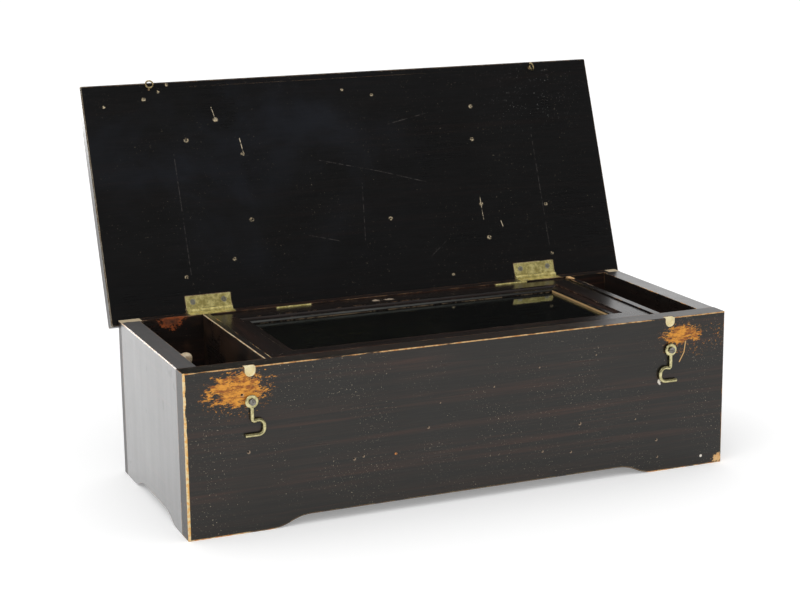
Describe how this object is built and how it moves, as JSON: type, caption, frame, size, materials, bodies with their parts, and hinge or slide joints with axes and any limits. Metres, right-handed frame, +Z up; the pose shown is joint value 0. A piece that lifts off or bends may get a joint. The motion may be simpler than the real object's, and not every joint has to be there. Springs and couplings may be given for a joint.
{
  "type": "musical box",
  "caption": "Long low cylinder musical box standing open: dark case on arched feet, leaning lid, glazed inner lid, brass hinges, front hooks, lever-wound movement.",
  "frame": {"origin": "on the floor, under the middle of the whole object with its lid open", "axes": "+X along the case to the right as seen from the front, +Y from the front to the back, +Z up"},
  "size_m": [0.512, 0.2936, 0.3425],
  "materials": {
    "ebonised": "ebonised, glossy",
    "inner_wood": "dark stained, matt",
    "bare_wood": "bare",
    "brass": "dulled",
    "steel": "polished",
    "iron": "painted grey",
    "glass": "clear",
    "ivory": "turned, worn"
  },
  "bodies": {
    "case": {"front_panel": "ebonised", "back_panel": "ebonised", "left_end_panel": "ebonised", "right_end_panel": "ebonised", "floor_board": "inner_wood", "corner_blocks": "bare_wood", "left_partition": "ebonised", "right_partition": "ebonised", "frame_ledges": "inner_wood", "hinge_case_leaves": "brass", "hinge_pins": "brass", "hinge_case_screws": "brass", "small_hinge_case_leaves": "brass", "hook_screws": "brass", "bedplate": "iron", "bed_pillars": "steel", "bed_screws": "steel", "barrel_bearings": "brass", "cylinder_bearings": "brass", "bracket_screws": "steel", "comb_base": "brass", "music_comb": "steel", "comb_screws": "steel", "governor_frame": "brass", "fly_cock": "brass", "holding_click": "steel", "partition_bush": "brass", "lever_posts": "brass"},
    "lid": {"lid": "ebonised", "hinge_lid_leaves": "brass", "hinge_lid_screws": "brass", "lid_eyes": "brass"},
    "glass_lid": {"glass_frame_front_rail": "ebonised", "glass_frame_rear_rail": "ebonised", "glass_frame_left_stile": "ebonised", "glass_frame_right_stile": "ebonised", "glass_pane": "glass", "glazing_beads": "inner_wood", "small_hinge_frame_leaves": "brass"},
    "hook_left": {"hook_left": "brass"},
    "hook_right": {"hook_right": "brass"},
    "winding": {"winding_lever": "steel", "lever_knob": "ivory", "winding_pawl": "steel", "ratchet_wheels": "steel", "winding_arbor": "steel"},
    "barrel": {"spring_barrel": "brass", "barrel_cap": "brass", "mainspring": "steel"},
    "cylinder": {"pinned_cylinder": "brass", "cylinder_arbor": "steel", "cylinder_pinion": "steel", "drive_wheel": "brass"},
    "governor": {"governor_arbor": "steel", "worm_wheel": "brass"},
    "fly": {"fly_arbor": "steel", "fly_fan": "brass"},
    "stop_lever": {"stop_lever": "brass"},
    "change_lever": {"change_lever": "brass"}
  },
  "joints": [
    {"name": "lid_hinge", "type": "hinge", "parent": "case", "child": "lid", "pos_m": [0, 0.06129, 0.14], "axis": [-1, 0, 0], "range_deg": [-110.5, 0]},
    {"name": "glass_lid_hinge", "type": "hinge", "parent": "case", "child": "glass_lid", "pos_m": [0, 0.04729, 0.13875], "axis": [-1, 0, 0], "range_deg": [0, 100]},
    {"name": "hook_left_pivot", "type": "hinge", "parent": "case", "child": "hook_left", "pos_m": [-0.194, -0.14391, 0.1114], "axis": [0, 1, 0], "range_deg": [0, 172]},
    {"name": "hook_right_pivot", "type": "hinge", "parent": "case", "child": "hook_right", "pos_m": [0.194, -0.14391, 0.1114], "axis": [0, -1, 0], "range_deg": [0, 172]},
    {"name": "winding_stroke", "type": "hinge", "parent": "case", "child": "winding", "pos_m": [-0.212, -0.01711, 0.064], "axis": [1, 0, 0], "range_deg": [-60, 60]},
    {"name": "stop_lever_pivot", "type": "hinge", "parent": "case", "child": "stop_lever", "pos_m": [0.145, -0.08011, 0.088], "axis": [0, 0, 1], "range_deg": [-7.5, 7.5]},
    {"name": "change_lever_pivot", "type": "hinge", "parent": "case", "child": "change_lever", "pos_m": [0.145, -0.10411, 0.088], "axis": [0, 0, 1], "range_deg": [-7.5, 7.5]},
    {"name": "cylinder_spin", "type": "hinge", "parent": "case", "child": "cylinder", "pos_m": [0, -0.05461, 0.064], "axis": [1, 0, 0], "continuous": true},
    {"name": "barrel_spin", "type": "hinge", "parent": "case", "child": "barrel", "pos_m": [-0.15, -0.01711, 0.064], "axis": [1, 0, 0], "continuous": true},
    {"name": "governor_spin", "type": "hinge", "parent": "case", "child": "governor", "pos_m": [0.1125, -0.02961, 0.072], "axis": [1, 0, 0], "continuous": true},
    {"name": "fly_spin", "type": "hinge", "parent": "case", "child": "fly", "pos_m": [0.1225, -0.01781, 0.072], "axis": [0, 0, 1], "continuous": true}
  ],
  "couplings": [
    {"joint": "barrel_spin", "follows": "cylinder_spin", "ratio": -0.25},
    {"joint": "governor_spin", "follows": "cylinder_spin", "ratio": -6},
    {"joint": "fly_spin", "follows": "cylinder_spin", "ratio": 144}
  ]
}
